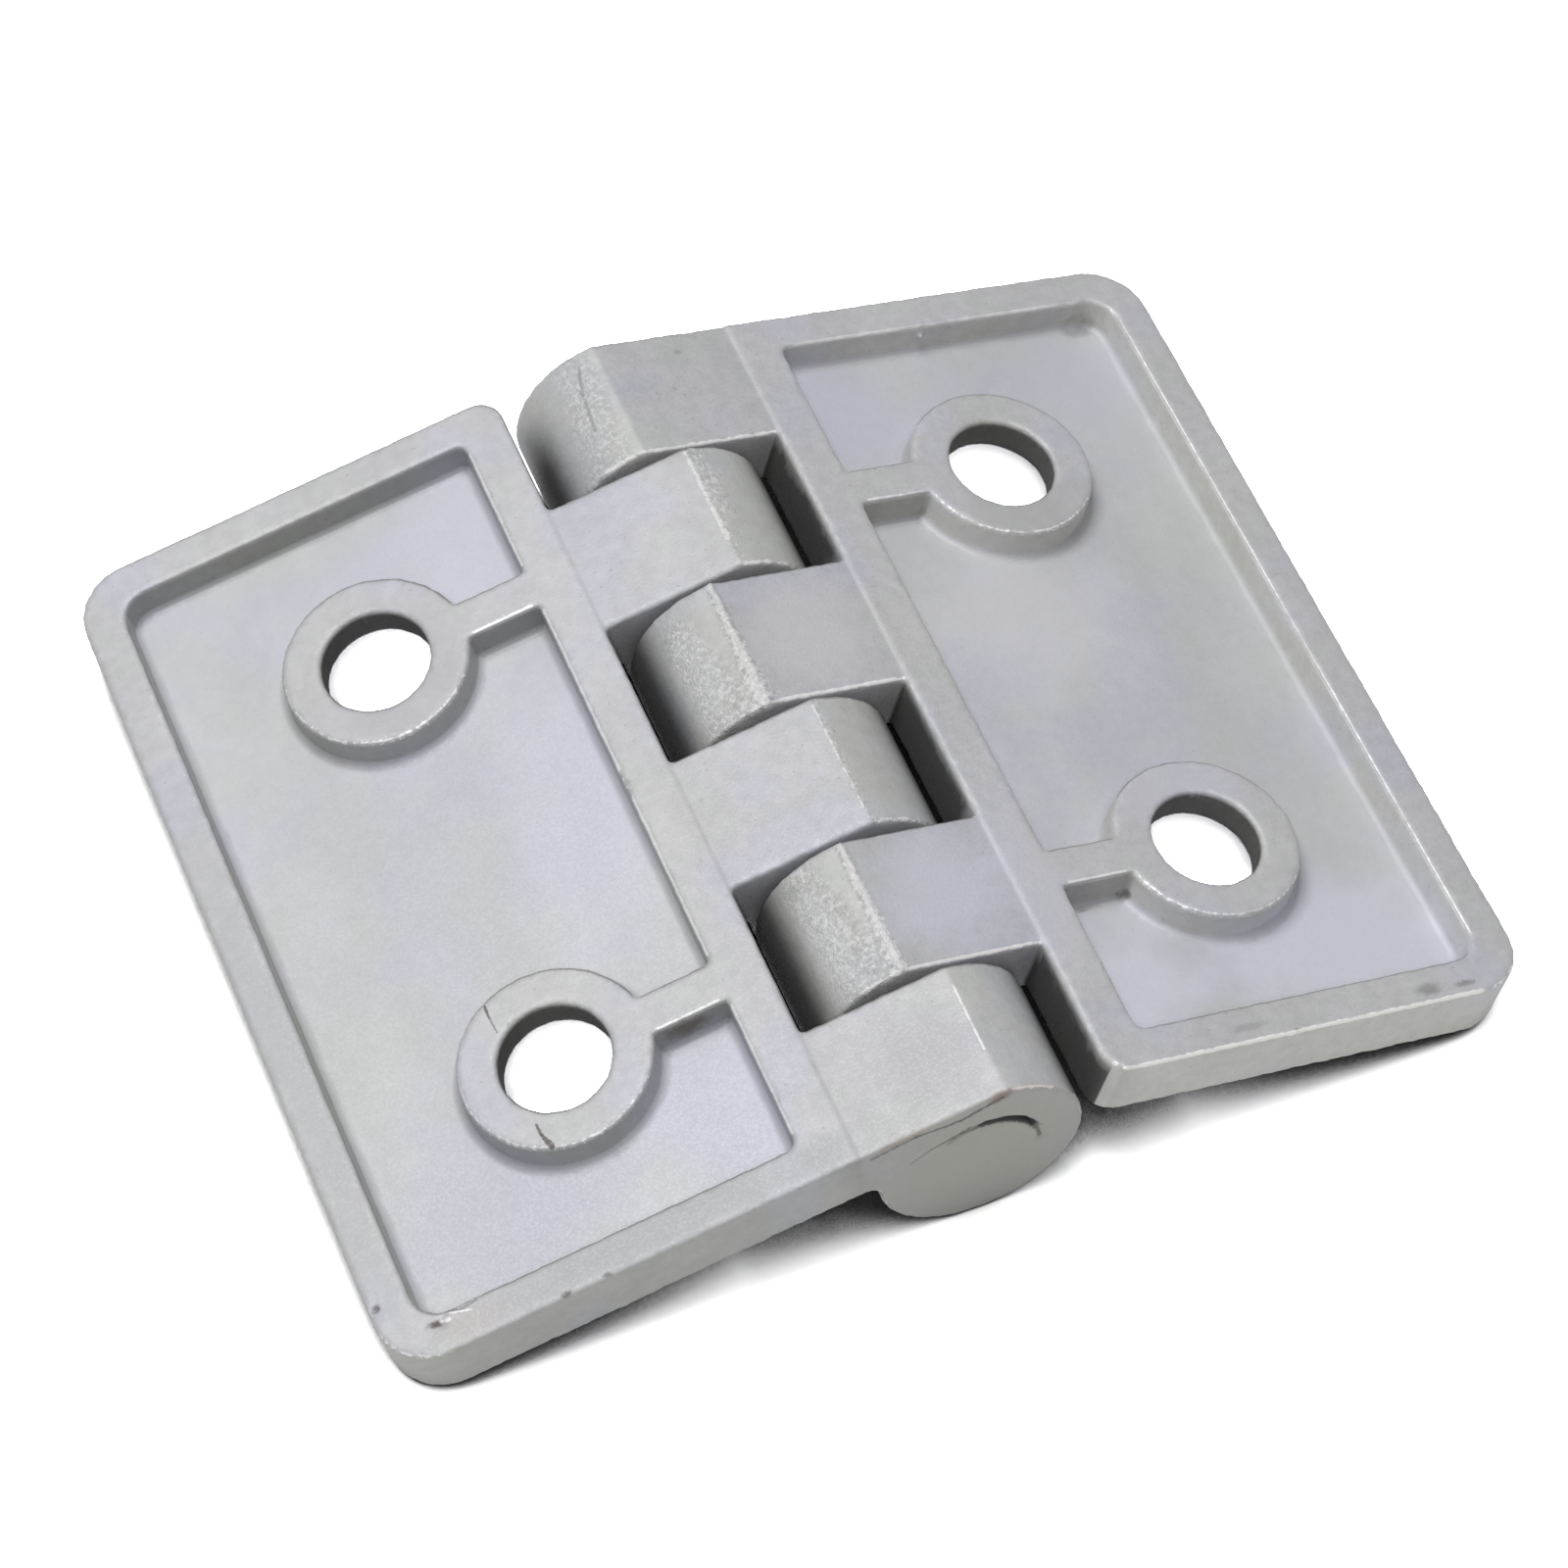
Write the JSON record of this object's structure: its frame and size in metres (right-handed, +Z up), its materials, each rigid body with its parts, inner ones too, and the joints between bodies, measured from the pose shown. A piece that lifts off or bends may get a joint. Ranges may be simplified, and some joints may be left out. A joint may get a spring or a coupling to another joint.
{
  "type": "folding door hinge",
  "caption": "Die-cast butt hinge with interlocking knuckles on a plain pin, and leaves pocketed at the back with ribbed screw bosses.",
  "frame": {"origin": "on the floor under the middle of the pin, with the hinge lying on its barrel and its leaf edges, back side up", "axes": "X across the two leaves, Y along the pin, Z up, away from the countersunk fronts"},
  "size_m": [0.0914, 0.075, 0.0161],
  "materials": {
    "cast_zinc": "bare matt die-cast zinc, light blue-grey with fine grain",
    "pin_steel": "plain steel, dull"
  },
  "bodies": {
    "left_side": {"left_leaf": "cast_zinc", "hinge_pin": "pin_steel"},
    "right_side": {"right_leaf": "cast_zinc"}
  },
  "joints": [
    {"name": "leaf_fold", "type": "hinge", "parent": "left_side", "child": "right_side", "pos_m": [0, 0, 0.0081], "axis": [0, 1, 0], "range_deg": [-115.94, 154.06]}
  ]
}
